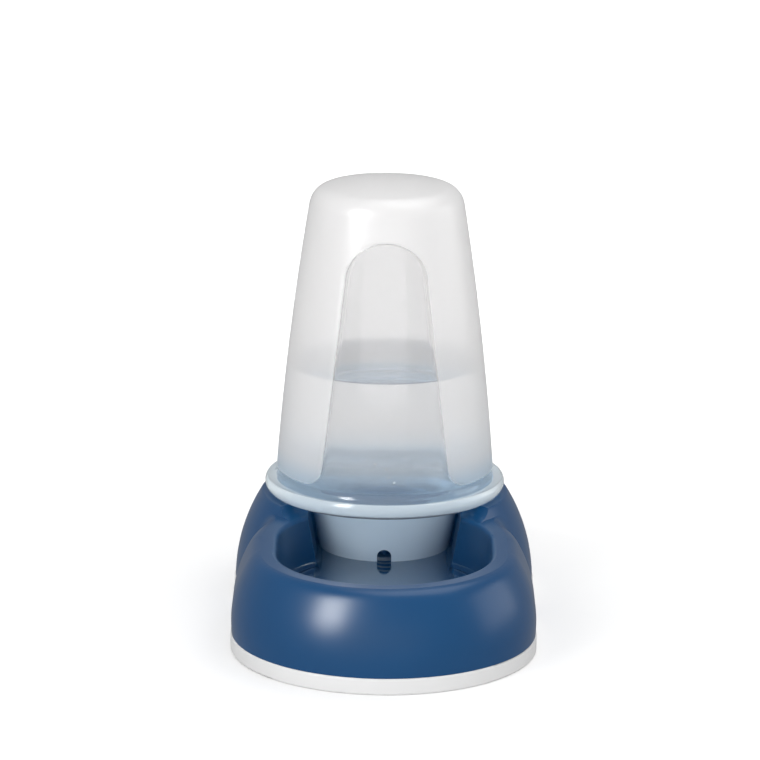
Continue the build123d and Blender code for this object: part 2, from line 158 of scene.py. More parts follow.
def arc_through(first, middle, last):
    """Centre and radius of the circle through three points."""
    (x1, y1), (x2, y2), (x3, y3) = first, middle, last
    d = 2 * (x1 * (y2 - y3) + x2 * (y3 - y1) + x3 * (y1 - y2))
    s1, s2, s3 = x1 * x1 + y1 * y1, x2 * x2 + y2 * y2, x3 * x3 + y3 * y3
    cx = (s1 * (y2 - y3) + s2 * (y3 - y1) + s3 * (y1 - y2)) / d
    cy = (s1 * (x3 - x2) + s2 * (x1 - x3) + s3 * (x2 - x1)) / d
    return cx, cy, math.hypot(x1 - cx, y1 - cy)


def arc_points(first, middle, last, count):
    """Points along the arc through three points, the first left out."""
    cx, cy, radius = arc_through(first, middle, last)
    turns = [math.atan2(y - cy, x - cx) for x, y in (first, middle, last)]
    for i in (1, 2):
        while turns[i] - turns[i - 1] > math.pi:
            turns[i] -= 2 * math.pi
        while turns[i] - turns[i - 1] < -math.pi:
            turns[i] += 2 * math.pi
    steps = [turns[0] + (turns[2] - turns[0]) * (i + 1) / count for i in range(count)]
    return [(cx + radius * math.cos(t), cy + radius * math.sin(t)) for t in steps]


def circle_points(centre, radius, first, last, count):
    """Points of a circle from one angle to another, both included."""
    turns = [first + (last - first) * i / count for i in range(count + 1)]
    return [(centre.x + radius * math.cos(t), centre.y + radius * math.sin(t)) for t in turns]


def smooth_step(value):
    """Eased 0 to 1."""
    value = min(max(value, 0.0), 1.0)
    return value * value * (3 - 2 * value)


def make_piece(name, points, faces, material, body=None, slot=None):
    """A smooth mesh piece in the shared frame, riding a body if one is given."""
    mesh = bpy.data.meshes.new(name)
    mesh.from_pydata([Vector(p) * MM for p in points], [], faces)
    mesh.validate()
    piece = bpy.data.objects.new(name, mesh)
    bpy.context.scene.collection.objects.link(piece)
    mesh.shade_smooth()
    mesh.set_sharp_from_angle(angle=SHARP_ANGLE)
    mesh.materials.append(material)
    if body:
        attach(piece, body)
    return piece


def ring_faces(first, second, count):
    """Quads between two closed rings of points that start at two indices."""
    pairs = [(i, (i + 1) % count) for i in range(count)]
    return [(first + a, first + b, second + b, second + a) for a, b in pairs]


def turned(profile, count=128, centre=(0.0, TANK_Y)):
    """Points and faces of a profile turned about a vertical axis; ends on the axis are closed."""
    points, faces, rings = [], [], []
    for radius, height in profile:
        on_axis = radius < 1e-6
        rings.append((len(points), 1 if on_axis else count))
        if on_axis:
            points.append((*centre, height))
            continue
        for i in range(count):
            turn = 2 * math.pi * i / count
            x, y = radius * math.cos(turn), radius * math.sin(turn)
            points.append((centre[0] + x, centre[1] + y, height))
    for (a, na), (b, nb) in zip(rings, rings[1:]):
        if na == 1:
            faces += [(a, b + (i + 1) % nb, b + i) for i in range(nb)]
        elif nb == 1:
            faces += [(a + i, a + (i + 1) % na, b) for i in range(na)]
        else:
            faces += ring_faces(a, b, na)
    return points, faces


# Section of the tank
def tank_circles():
    """Centres and radii of the tank's side and dome, and the centre of the round between them."""
    corner_height = TANK_TOP - DOME_RISE
    middle = ((LOW_RADIUS + CORNER_RADIUS) / 2 + SIDE_BOW, (RAISED_FOOT + corner_height) / 2)
    x, y, side = arc_through((LOW_RADIUS, RAISED_FOOT), middle, (CORNER_RADIUS, corner_height))
    dome = (CORNER_RADIUS**2 + DOME_RISE**2) / (2 * DOME_RISE)
    side_centre, dome_centre = Vector((x, y)), Vector((0, TANK_TOP - dome))
    between = dome_centre - side_centre
    side_reach, dome_reach = side - CORNER_ROUND, dome - CORNER_ROUND
    along = (side_reach**2 - dome_reach**2 + between.length_squared) / (2 * between.length)
    across = math.sqrt(side_reach**2 - along**2)
    between.normalize()
    corner_centre = side_centre + between * along + Vector((-between.y, between.x)) * across
    return side_centre, side, dome_centre, dome, corner_centre


SIDE_CENTRE, SIDE_ROUND, DOME_CENTRE, DOME_ROUND, CORNER_CENTRE = tank_circles()


def side_radius(height, inset=0.0):
    """Radius of the tank's side at a height, moved in by a depth."""
    rise = height - SIDE_CENTRE.y
    return SIDE_CENTRE.x + math.sqrt((SIDE_ROUND - inset) ** 2 - rise**2)


def top_profile(inset):
    """Profile of the tank from the end of its side over the corner and the dome to the axis."""
    side_turn = math.atan2(CORNER_CENTRE.y - SIDE_CENTRE.y, CORNER_CENTRE.x - SIDE_CENTRE.x)
    dome_turn = math.atan2(CORNER_CENTRE.y - DOME_CENTRE.y, CORNER_CENTRE.x - DOME_CENTRE.x)
    corner = circle_points(CORNER_CENTRE, CORNER_ROUND - inset, side_turn, dome_turn, 12)
    dome = circle_points(DOME_CENTRE, DOME_ROUND - inset, dome_turn, math.pi / 2, 8)
    return corner + dome[1:-1] + [(0.0, TANK_TOP - inset)]


SIDE_END = top_profile(0)[0][1]  # height where the side turns into the corner

# Window of the tank: straight leaning edges, a round top and the rounded corners at its foot
WINDOW_LEAN = (WINDOW_FOOT_HALF - ARCH_RADIUS) / (ARCH_SPRING - RAISED_FOOT)
LEAN_TURN = math.atan(WINDOW_LEAN)


def straight_half(height):
    """Half width of the window on the straight side of its arch."""
    return ARCH_RADIUS + WINDOW_LEAN * (ARCH_SPRING - height)


ROUND_HEIGHT = RAISED_FOOT + RAISED_ROUND  # centre of the raised side's lower corner
ROUND_MIDDLE = straight_half(ROUND_HEIGHT) + RAISED_ROUND / math.cos(LEAN_TURN)


def raised_distance(x, height):
    """Distance from the outline of the window, positive on the raised sides."""
    if height > ARCH_SPRING:
        return math.hypot(x, height - ARCH_SPRING) - ARCH_RADIUS
    across, up = abs(x) - ROUND_MIDDLE, height - ROUND_HEIGHT
    past_side = across * math.sin(LEAN_TURN) - up * math.cos(LEAN_TURN)
    if past_side > 0 and across < 0:
        return RAISED_ROUND - math.hypot(across, up)
    side = (abs(x) - straight_half(height)) * math.cos(LEAN_TURN)
    return min(side, height - RAISED_FOOT)


def window_half(height):
    """Half width of the window at a height, for the columns of the mesh to follow."""
    above = height - ARCH_SPRING
    if above > 0:
        return math.sqrt(max(ARCH_RADIUS**2 - above**2, 0.0))
    up = max(height, RAISED_FOOT) - ROUND_HEIGHT
    if up < -RAISED_ROUND * math.sin(LEAN_TURN):
        return ROUND_MIDDLE - math.sqrt(RAISED_ROUND**2 - up**2)
    return straight_half(height)


def window_depth(x, height):
    """How deep the outside lies under the full skin."""
    past_edge = raised_distance(x, height) + WINDOW_EDGE
    return WINDOW_DEPTH * (1 - smooth_step(past_edge / (2 * WINDOW_EDGE)))


# Tank
def column_turns(height, radius):
    """Angles from the front of the columns in one quarter of the tank."""
    half = window_half(height)
    edge = [half + WINDOW_EDGE * step for step in EDGE_STEPS]
    offsets = [0.0] + [edge[0] * share for share in WINDOW_SHARES] + edge
    for i in range(1, len(offsets)):
        offsets[i] = max(offsets[i], offsets[i - 1] + COLUMN_GAP)
    turns = [math.asin(min(x / radius, 1.0)) for x in offsets]
    rest = math.pi / 2 - turns[-1]
    return turns + [turns[-1] + rest * i / SIDE_COLUMNS for i in range(1, SIDE_COLUMNS + 1)]


def tank_rows():
    """Heights of the mesh rows on the tank's side, closest where the window's edge is level."""
    edge = WINDOW_EDGE
    arch_top = ARCH_SPRING + ARCH_RADIUS
    straight = ARCH_SPRING - ROUND_HEIGHT
    over = SIDE_END - arch_top - 2 * edge
    # foot, lower corners and straight edges of the window
    rows = [RAISED_FOOT + edge * k for k in (-1, -0.5, 0, 0.5)]
    for angle in range(20, 91, 7):
        rows.append(RAISED_FOOT + RAISED_ROUND * (1 - math.cos(math.radians(angle))))
    rows += [ROUND_HEIGHT + straight * i / STRAIGHT_ROWS for i in range(1, STRAIGHT_ROWS + 1)]
    # its round top, the crown of that and the side above
    for angle in range(5, 87, 5):
        rows.append(ARCH_SPRING + ARCH_RADIUS * math.sin(math.radians(angle)))
    rows += [arch_top + edge * k for k in (-0.5, 0, 0.5, 1, 2)]
    rows += [arch_top + 2 * edge + over * i / OVER_ROWS for i in range(1, OVER_ROWS)]
    rows.sort()
    kept = [rows[0]]
    for row in rows[1:]:
        if row - kept[-1] > ROW_GAP:
            kept.append(row)
    return kept


def tank_outside():
    """Rows of the tank's outside from the skirt to near the top: height, radii and angles."""
    recess = LOW_RADIUS - WINDOW_DEPTH
    hollow = ((SKIRT_RADIUS + recess) / 2 - FLARE_HOLLOW, (FLARE_FOOT + RAISED_FOOT) / 2)
    flare = arc_points((SKIRT_RADIUS, FLARE_FOOT), hollow, (recess, RAISED_FOOT), 6)
    foot = [(SKIRT_RADIUS - SKIRT_BEVEL, SKIRT_LOW), (SKIRT_RADIUS, SKIRT_LOW + SKIRT_BEVEL)]
    foot.append((SKIRT_RADIUS, FLARE_FOOT))
    turns = column_turns(RAISED_FOOT - WINDOW_EDGE, LOW_RADIUS)
    rows = [(height, [radius] * len(turns), turns) for radius, height in foot + flare[:-1]]
    for height in tank_rows():
        full = side_radius(height)
        turns = column_turns(height, full)
        radii = [full - window_depth(full * math.sin(turn), height) for turn in turns]
        rows.append((height, radii, turns))
    for radius, height in top_profile(0)[:-1]:
        rows.append((height, [radius] * len(turns), turns))
    return rows


def tank_inside():
    """Profile of the tank's inside, from the axis down to the skirt's foot."""
    rows = list(reversed(top_profile(WALL)))
    high = rows[-1][1]
    for i in range(1, INSIDE_ROWS + 1):
        height = high - (high - RAISED_FOOT) * i / INSIDE_ROWS
        rows.append((side_radius(height, WALL), height))
    inner = SKIRT_RADIUS - SKIRT_WALL
    rows += [(inner, FLARE_FOOT), (inner, SKIRT_LOW + SKIRT_BEVEL)]
    return rows + [(inner + SKIRT_BEVEL, SKIRT_LOW)]


def all_turns(quarter):
    """Angles of all columns round the tank from those of one quarter."""
    half = list(quarter) + [math.pi - turn for turn in reversed(quarter[:-1])]
    return half + [2 * math.pi - turn for turn in reversed(half[1:-1])]


def all_radii(quarter):
    """Radii of all columns round the tank from those of one quarter."""
    half = list(quarter) + list(reversed(quarter[:-1]))
    return half + list(reversed(half[1:-1]))


def around(radius, height, turn):
    """A point of the tank at an angle from its front."""
    return radius * math.sin(turn), TANK_Y - radius * math.cos(turn), height


def window_of(points, face):
    """The sunk window that a face of the outside lies in, front or back, or none."""
    middle = sum((Vector(points[k]) for k in face), Vector()) / len(face)
    if middle.z >= SIDE_END or raised_distance(middle.x, middle.z) >= 0:
        return None
    return "front" if middle.y < TANK_Y else "back"


def tank_mesh():
    """Points and faces of the tank, its clear faces and those of its back window.

    Clear are the front window and the whole inside.
    """
    points, faces = [], []
    outside = tank_outside()
    for height, radii, turns in outside:
        points += [around(r, height, t) for r, t in zip(all_radii(radii), all_turns(turns))]
    columns = len(outside[0][1])
    count = len(points) // len(outside)
    for i in range(len(outside) - 1):
        faces += ring_faces(i * count, (i + 1) * count, count)
    top = len(points)
    last = top - count
    points.append((0.0, TANK_Y, TANK_TOP))
    faces += [(last + i, last + (i + 1) % count, top) for i in range(count)]
    windows = [window_of(points, face) for face in faces]
    clear = [index for index, window in enumerate(windows) if window == "front"]
    back = [index for index, window in enumerate(windows) if window == "back"]

    even = all_turns([math.pi / 2 * i / (columns - 1) for i in range(columns)])
    start, outside_end = len(points), len(faces)
    inside = tank_inside()
    points.append((0.0, TANK_Y, inside[0][1]))
    for radius, height in inside[1:]:
        points += [around(radius, height, turn) for turn in even]
    first = start + 1
    faces += [(start, first + (i + 1) % count, first + i) for i in range(count)]
    for i in range(len(inside) - 2):
        faces += ring_faces(first + i * count, first + (i + 1) * count, count)
    faces += ring_faces(first + (len(inside) - 2) * count, 0, count)
    return points, faces, clear + list(range(outside_end, len(faces))), back


def add_lugs(points, faces, steps=6):
    """Adds the bayonet lugs of the skirt to the tank's points and faces."""
    root = SKIRT_RADIUS - LUG_ROOT
    tip = SKIRT_RADIUS + LUG_REACH
    section = ((root, LUG_LOW), (tip, LUG_LOW), (tip, LUG_HIGH), (root, LUG_HIGH))
    for lug in range(LUG_COUNT):
        middle = math.pi + lug * 2 * math.pi / LUG_COUNT
        start = len(points)
        for i in range(steps + 1):
            turn = middle + math.radians(LUG_ANGLE) * (i / steps - 0.5)
            points += [around(radius, height, turn) for radius, height in section]
        for i in range(steps):
            a, b = start + 4 * i, start + 4 * (i + 1)
            faces += [(b + k, b + (k + 1) % 4, a + (k + 1) % 4, a + k) for k in range(4)]
        end = start + 4 * steps
        faces += [(start, start + 1, start + 2, start + 3), (end + 3, end + 2, end + 1, end)]


# Spring
def spring_mesh(steps=96, sides=10):
    """Points and faces of the round wire coil."""
    points, faces = [], []
    for i in range(steps + 1):
        turn = 2 * math.pi * SPRING_TURNS * i / steps
        middle = SPRING_LOW + (SPRING_HIGH - SPRING_LOW) * i / steps
        for k in range(sides):
            side = 2 * math.pi * k / sides
            radius = SPRING_RADIUS + SPRING_WIRE * math.cos(side)
            height = middle + SPRING_WIRE * math.sin(side)
            points.append((radius * math.cos(turn), TANK_Y + radius * math.sin(turn), height))
    for i in range(steps):
        faces += ring_faces((i + 1) * sides, i * sides, sides)
    last = range(steps * sides, (steps + 1) * sides)
    return points, faces + [tuple(range(sides)), tuple(reversed(last))]


# Water
def tank_water_profile(side_rows=16):
    """Profile of the water in the tank: valve plate, funnel, ledge, wall, meniscus and surface."""
    lap = WATER_LAP
    cup = CUP_RADIUS + lap
    gasket = GASKET_INNER + lap
    inner = SKIRT_RADIUS - SKIRT_WALL + lap
    profile = [(radius, height - lap) for radius, height in PLATE_TOP]
    profile += [(cup, PLATE_TOP[-1][1] - lap), (cup, CUP_RIM - lap)]
    profile += [(FUNNEL_OUTER, LEDGE_HEIGHT - lap), (gasket, LEDGE_HEIGHT - lap)]
    profile += [(gasket, SKIRT_LOW - lap), (inner, SKIRT_LOW - lap), (inner, FLARE_FOOT)]
    climb = TANK_WATER + TANK_RISE - RAISED_FOOT
    for i in range(side_rows + 1):
        height = RAISED_FOOT + climb * i / side_rows
        profile.append((side_radius(height, WALL) + lap, height))
    edge = profile[-1][0]
    profile += [(edge - inset, TANK_WATER + rise) for inset, rise in TANK_MENISCUS]
    return profile + [(0.0, TANK_WATER)]


def disc_exit(turn, centre, radius):
    """How far out a line from the throat's middle leaves a round of the bowl, 0 if it misses."""
    away = centre - THROAT_MIDDLE
    along = -math.cos(turn) * away
    across = abs(math.sin(turn) * away)
    return along + math.sqrt(radius**2 - across**2) if across < radius else 0.0


def bowl_reach(turn, height):
    """How far the bowl's water reaches from the throat at an angle and a height."""
    share = (RIM_HEIGHT - height) / (RIM_HEIGHT - FLOOR_HEIGHT)
    basin = BASIN_RADIUS - BASIN_DRAFT * share
    over = height - FLOOR_HEIGHT
    if over < BASIN_ROUND:
        basin -= BASIN_ROUND - math.sqrt(BASIN_ROUND**2 - (BASIN_ROUND - over) ** 2)
    well = WELL_LOW + WELL_SLOPE * over
    throat = THROAT_HALF - THROAT_DRAFT * share
    basin_end = BOWL_Y + BASIN_RUN
    rounds = ((TANK_Y, well), (BOWL_Y, basin), (basin_end, basin))
    reach = max(disc_exit(turn, centre, radius) for centre, radius in rounds)
    dx, dy = math.sin(turn), -math.cos(turn)
    if abs(dx) > 1e-6:
        for half, low, high in ((basin, BOWL_Y, basin_end), (throat, BOWL_Y, TANK_Y)):
            out = half / abs(dx)
            if low <= THROAT_MIDDLE + dy * out <= high:
                reach = max(reach, out)
    return reach


def bowl_water_mesh(count=360):
    """Points and faces of the water in the bowl, throat and well."""
    low = FLOOR_HEIGHT + BOWL_LOWEST
    foot_height = FLOOR_HEIGHT - WATER_LAP
    levels = [(BOWL_WATER + rise, inset) for inset, rise in BOWL_MENISCUS]
    levels += [(height, -WATER_LAP) for height in (*BOWL_ROWS, low, foot_height)]
    points, faces = [(0.0, THROAT_MIDDLE, BOWL_WATER)], []
    for height, inset in levels:
        for i in range(count):
            turn = 2 * math.pi * i / count
            reach = bowl_reach(turn, max(height, low)) - inset
            x, y = reach * math.sin(turn), THROAT_MIDDLE - reach * math.cos(turn)
            points.append((x, y, height))
    faces += [(0, 1 + i, 1 + (i + 1) % count) for i in range(count)]
    for level in range(len(levels) - 1):
        faces += ring_faces(1 + (level + 1) * count, 1 + level * count, count)
    foot = len(points)
    last = foot - count
    points.append((0.0, THROAT_MIDDLE, foot_height))
    faces += [(foot, last + (i + 1) % count, last + i) for i in range(count)]
    return points, faces


def bubble_mesh(bubbles, rows=8, columns=12):
    """Small round bubbles, each a closed ball."""
    points, faces = [], []
    for (x, y, z), radius in bubbles:
        turns = [math.pi * i / rows for i in range(rows + 1)]
        profile = [(radius * math.sin(turn), z - radius * math.cos(turn)) for turn in turns]
        ball, ball_faces = turned(profile, columns, (x, y))
        start = len(points)
        points += ball
        faces += [tuple(start + k for k in face) for face in ball_faces]
    return points, faces


# Node helpers
def new_material(name):
    """An empty node material with its output."""
    material = bpy.data.materials.new(name)
    material.use_nodes = True
    material.node_tree.nodes.clear()
    output = material.node_tree.nodes.new("ShaderNodeOutputMaterial")
    return material, material.node_tree, output


def add_node(tree, kind, **settings):
    """A node of a kind, with its properties set."""
    node = tree.nodes.new(kind)
    for name, value in settings.items():
        setattr(node, name, value)
    return node


def blend_value(tree, factor, low, high):
    """A value from low to high by a 0 to 1 factor."""
    level = add_node(tree, "ShaderNodeMapRange")
    level.inputs["To Min"].default_value = low
    level.inputs["To Max"].default_value = high
    tree.links.new(factor, level.inputs["Value"])
    return level.outputs["Result"]


def either_ray(tree, first, second):
    """1 in a ray of either of two kinds."""
    path = add_node(tree, "ShaderNodeLightPath")
    either = add_node(tree, "ShaderNodeMath", operation="MAXIMUM")
    tree.links.new(path.outputs[first], either.inputs[0])
    tree.links.new(path.outputs[second], either.inputs[1])
    return either.outputs[0]


def moulding_grain_group():
    """Skin of moulded plastic: fine height grain and a slow mottle, both over the surface."""
    tree = bpy.data.node_groups.new("moulding_grain", "ShaderNodeTree")
    for name, default in (("Grain Size", 0.5), ("Mottle Size", 20.0)):
        socket = tree.interface.new_socket(name, in_out="INPUT", socket_type="NodeSocketFloat")
        socket.default_value = default
    for name in ("Height", "Mottle"):
        tree.interface.new_socket(name, in_out="OUTPUT", socket_type="NodeSocketFloat")
    inside = add_node(tree, "NodeGroupInput")
    outside = add_node(tree, "NodeGroupOutput")
    place = add_node(tree, "ShaderNodeTexCoord")
    for size, target, detail in (("Grain Size", "Height", 2.0), ("Mottle Size", "Mottle", 3.0)):
        per_metre = add_node(tree, "ShaderNodeMath", operation="DIVIDE")
        per_metre.inputs[0].default_value = 1 / MM
        tree.links.new(inside.outputs[size], per_metre.inputs[1])
        noise = add_node(tree, "ShaderNodeTexNoise")
        noise.inputs["Detail"].default_value = detail
        tree.links.new(place.outputs["Object"], noise.inputs["Vector"])
        tree.links.new(per_metre.outputs[0], noise.inputs["Scale"])
        tree.links.new(noise.outputs["Fac"], outside.inputs[target])
    return tree


def height_mask_group():
    """1 below one height, 0 above another and eased between them; heights in metres."""
    tree = bpy.data.node_groups.new("height_mask", "ShaderNodeTree")
    for name in ("Low", "High"):
        tree.interface.new_socket(name, in_out="INPUT", socket_type="NodeSocketFloat")
    tree.interface.new_socket("Mask", in_out="OUTPUT", socket_type="NodeSocketFloat")
    inside = add_node(tree, "NodeGroupInput")
    outside = add_node(tree, "NodeGroupOutput")
    place = add_node(tree, "ShaderNodeTexCoord")
    split = add_node(tree, "ShaderNodeSeparateXYZ")
    tree.links.new(place.outputs["Object"], split.inputs["Vector"])
    ease = add_node(tree, "ShaderNodeMapRange", interpolation_type="SMOOTHSTEP")
    ease.inputs["To Min"].default_value = 1.0
    ease.inputs["To Max"].default_value = 0.0
    tree.links.new(split.outputs["Z"], ease.inputs["Value"])
    tree.links.new(inside.outputs["Low"], ease.inputs["From Min"])
    tree.links.new(inside.outputs["High"], ease.inputs["From Max"])
    tree.links.new(ease.outputs["Result"], outside.inputs["Mask"])
    return tree


MOULDING_GRAIN = moulding_grain_group()
HEIGHT_MASK = height_mask_group()


# Materials
PLASTIC_IOR = 1.46
ROUGHNESS_SPREAD = 0.12  # either way, by the grain
WATER_IOR = 1.333
WATER_PASSED = 0.97


def paint_blue_light(tree, colour, painted_blue, low, high):
    """Mixes a colour with painted blue light, the blue of the base that shows at the foot of the
    tank.
    """
    mask = add_node(tree, "ShaderNodeGroup", node_tree=HEIGHT_MASK)
    mask.inputs["Low"].default_value = low * MM
    mask.inputs["High"].default_value = high * MM
    tinted = add_node(tree, "ShaderNodeMix", data_type="RGBA")
    tinted.inputs["B"].default_value = (*painted_blue, 1)
    tree.links.new(mask.outputs["Mask"], tinted.inputs["Factor"])
    tree.links.new(colour, tinted.inputs["A"])
    return tinted.outputs["Result"]


def let_light_in(tree, shader, share):
    """Lets part of the lamps' and the sky's rays through, to light what stands behind a wall."""
    passing = either_ray(tree, "Is Shadow Ray", "Is Diffuse Ray")
    tree.links.new(blend_value(tree, passing, 1.0, 1.0 - share), shader.inputs["Alpha"])


def plastic(
    name,
    colour,
    dark,
    roughness,
    grain_mm=0.6,
    mottle_mm=35.0,
    bump_mm=0.002,
    transmission=0.0,
    passed=0.0,
    specular=0.5,
    foot=None,
):
    """Moulded plastic: two close tones by the mottle, a fine grain in roughness and height."""
    material, tree, output = new_material(name)
    shader = add_node(tree, "ShaderNodeBsdfPrincipled")
    shader.inputs["IOR"].default_value = PLASTIC_IOR
    shader.inputs["Transmission Weight"].default_value = transmission
    shader.inputs["Specular IOR Level"].default_value = specular
    if passed:
        let_light_in(tree, shader, passed)
    grain = add_node(tree, "ShaderNodeGroup", node_tree=MOULDING_GRAIN)
    grain.inputs["Grain Size"].default_value = grain_mm
    grain.inputs["Mottle Size"].default_value = mottle_mm
    tones = add_node(tree, "ShaderNodeMix", data_type="RGBA")
    tones.inputs["A"].default_value = (*dark, 1)
    tones.inputs["B"].default_value = (*colour, 1)
    tree.links.new(grain.outputs["Mottle"], tones.inputs["Factor"])
    # a foot, where given, mixes painted blue light into the colour low on the tank
    tone = paint_blue_light(tree, tones.outputs["Result"], *foot) if foot else tones.outputs["Result"]
    tree.links.new(tone, shader.inputs["Base Color"])
    smoother, rougher = roughness * (1 - ROUGHNESS_SPREAD), roughness * (1 + ROUGHNESS_SPREAD)
    spread = blend_value(tree, grain.outputs["Height"], smoother, rougher)
    tree.links.new(spread, shader.inputs["Roughness"])
    bump = add_node(tree, "ShaderNodeBump")
    bump.inputs["Strength"].default_value = 1.0
    bump.inputs["Distance"].default_value = bump_mm * MM
    tree.links.new(grain.outputs["Height"], bump.inputs["Height"])
    tree.links.new(bump.outputs["Normal"], shader.inputs["Normal"])
    tree.links.new(shader.outputs["BSDF"], output.inputs["Surface"])
    return material


def clear_liquid(name, colour, ior, coat=0.0):
    """Clean water, or the air of a bubble in it; a coat gives still water a clearer mirror."""
    material, tree, output = new_material(name)
    shader = add_node(tree, "ShaderNodeBsdfPrincipled")
    shader.inputs["Base Color"].default_value = (*colour, 1)
    shader.inputs["Roughness"].default_value = 0.0
    shader.inputs["IOR"].default_value = ior
    shader.inputs["Transmission Weight"].default_value = 1.0
    shader.inputs["Coat Weight"].default_value = coat
    shader.inputs["Coat IOR"].default_value = 1.8
    shader.inputs["Coat Roughness"].default_value = 0.02
    let_light_in(tree, shader, WATER_PASSED)
    tree.links.new(shader.outputs["BSDF"], output.inputs["Surface"])
    return material


BLUE = plastic(
    "blue_moulding",
    (0.0030, 0.057, 0.164),
    (0.0026, 0.050, 0.147),
    roughness=0.30,
    grain_mm=0.35,
    mottle_mm=45.0,
    bump_mm=0.004,
    specular=0.45,
)
WHITE = plastic(
    "soft_white_ring",
    (0.71, 0.71, 0.71),
    (0.68, 0.68, 0.68),
    roughness=0.55,
    grain_mm=0.4,
    mottle_mm=30.0,
    bump_mm=0.006,
)
# Milky tank and its clearer window: both take painted blue light at their foot
MILKY = plastic(
    "milky_tank",
    (0.87, 0.865, 0.865),
    (0.85, 0.845, 0.845),
    roughness=0.32,
    transmission=0.54,
    passed=0.90,
    specular=0.35,
    foot=FOOT_PAINTED_BLUE_LIGHT,
)
WINDOW = plastic(
    "milky_window",
    (0.83, 0.825, 0.825),
    (0.81, 0.805, 0.805),
    roughness=0.13,
    bump_mm=0.0,
    transmission=0.86,
    passed=0.95,
    specular=0.35,
    foot=FOOT_PAINTED_BLUE_LIGHT,
)
# Back window: deeper painted blue light at its foot, standing in for the blue base seen through the
# water
BACK = plastic(
    "milky_back",
    (0.87, 0.865, 0.865),
    (0.85, 0.845, 0.845),
    roughness=0.24,
    transmission=0.50,
    passed=0.92,
    specular=0.35,
    foot=BACK_PAINTED_BLUE_LIGHT,
)
FROSTED = plastic(
    "frosted_closure",
    (0.80, 0.88, 0.93),
    (0.78, 0.86, 0.91),
    roughness=0.12,
    bump_mm=0.001,
    transmission=0.58,
    passed=0.92,
)
# Funnel under the tank's water: its dark blue is painted shade and painted blue of the base seen
# through it
FUNNEL_PAINTED_BLUE_SHADE = plastic(
    "funnel_painted_blue_shade",
    (0.30, 0.46, 0.62),
    (0.28, 0.44, 0.60),
    roughness=0.10,
    bump_mm=0.001,
    transmission=0.80,
    passed=0.92,
)
# Neck: milky, and bluer than the flange: painted blue light from the base, in a wall that lets
# little light through
NECK = plastic(
    "frosted_neck",
    (0.66, 0.81, 0.93),
    (0.63, 0.78, 0.90),
    roughness=0.22,
    transmission=0.12,
    passed=0.90,
)
SILICONE = plastic(
    "silicone",
    (0.34, 0.46, 0.58),
    (0.30, 0.42, 0.54),
    roughness=0.45,
    grain_mm=0.4,
    mottle_mm=12.0,
    bump_mm=0.003,
)
# Spring wire: darker than bare steel, painted shade so that the coil in the shaded neck shows less
STEEL = plastic(
    "spring_wire",
    (0.34, 0.35, 0.37),
    (0.28, 0.29, 0.31),
    roughness=0.25,
    grain_mm=0.3,
    mottle_mm=6.0,
    bump_mm=0.001,
)
WATER = clear_liquid("water", (0.97, 0.985, 0.995), WATER_IOR)
BOWL_SURFACE = clear_liquid("bowl_water", (0.97, 0.985, 0.995), WATER_IOR, coat=1.0)
BUBBLE = clear_liquid("bubble_air", (1.0, 1.0, 1.0), 0.75)


def dress(node, material):
    """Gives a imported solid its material."""
    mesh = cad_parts[node].data
    mesh.materials.clear()
    mesh.materials.append(material)


def is_neck(place, normal):
    """Whether a face of the closure belongs to the thick, milky wall of its neck."""
    radius = math.hypot(place.x, place.y - TANK_Y)
    inside = NECK_INNER < radius < NECK_OUTER and place.z < FOOT_HEIGHT - WATER_LAP
    return inside and (abs(normal.z) < 0.6 or place.z < BOWL_WATER)


def is_funnel(place):
    """Whether a face of the closure lies under the tank's water or round the valve."""
    radius = math.hypot(place.x, place.y - TANK_Y)
    under_tank = radius < GASKET_INNER and place.z > FOOT_HEIGHT + WATER_LAP
    return radius < NECK_OUTER or under_tank


def dress_closure():
    """Gives the closure its frosted flange, its milky neck with painted blue light and its funnel
    with painted blue shade.
    """
    dress("closure", FROSTED)
    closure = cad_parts["closure"]
    closure.data.materials.append(NECK)
    closure.data.materials.append(FUNNEL_PAINTED_BLUE_SHADE)
    for face in closure.data.polygons:
        place = closure.matrix_world @ face.center / MM
        if is_neck(place, face.normal):
            face.material_index = 1
        elif is_funnel(place):
            face.material_index = 2


# Studio
def seen_rays(tree):
    """1 where the eye looks straight at a surface or through a clear one; 1 in a mirrored ray."""
    seen = either_ray(tree, "Is Camera Ray", "Is Transmission Ray")
    path = add_node(tree, "ShaderNodeLightPath")
    mirrored = add_node(tree, "ShaderNodeMath", operation="SUBTRACT", use_clamp=True)
    tree.links.new(path.outputs["Is Glossy Ray"], mirrored.inputs[0])
    tree.links.new(path.outputs["Is Transmission Ray"], mirrored.inputs[1])
    return seen, mirrored.outputs[0]


def floor_glow(tree):
    """Strength of the floor's glow by the distance from the object."""
    place = add_node(tree, "ShaderNodeTexCoord")
    away = add_node(tree, "ShaderNodeVectorMath", operation="LENGTH")
    tree.links.new(place.outputs["Object"], away.inputs[0])
    level = add_node(tree, "ShaderNodeMapRange")
    level.inputs["From Min"].default_value = GLOW_START
    level.inputs["From Max"].default_value = GLOW_END
    level.inputs["To Min"].default_value = GLOW_NEAR
    level.inputs["To Max"].default_value = GLOW_FAR
    tree.links.new(away.outputs["Value"], level.inputs["Value"])
    return level.outputs["Result"]


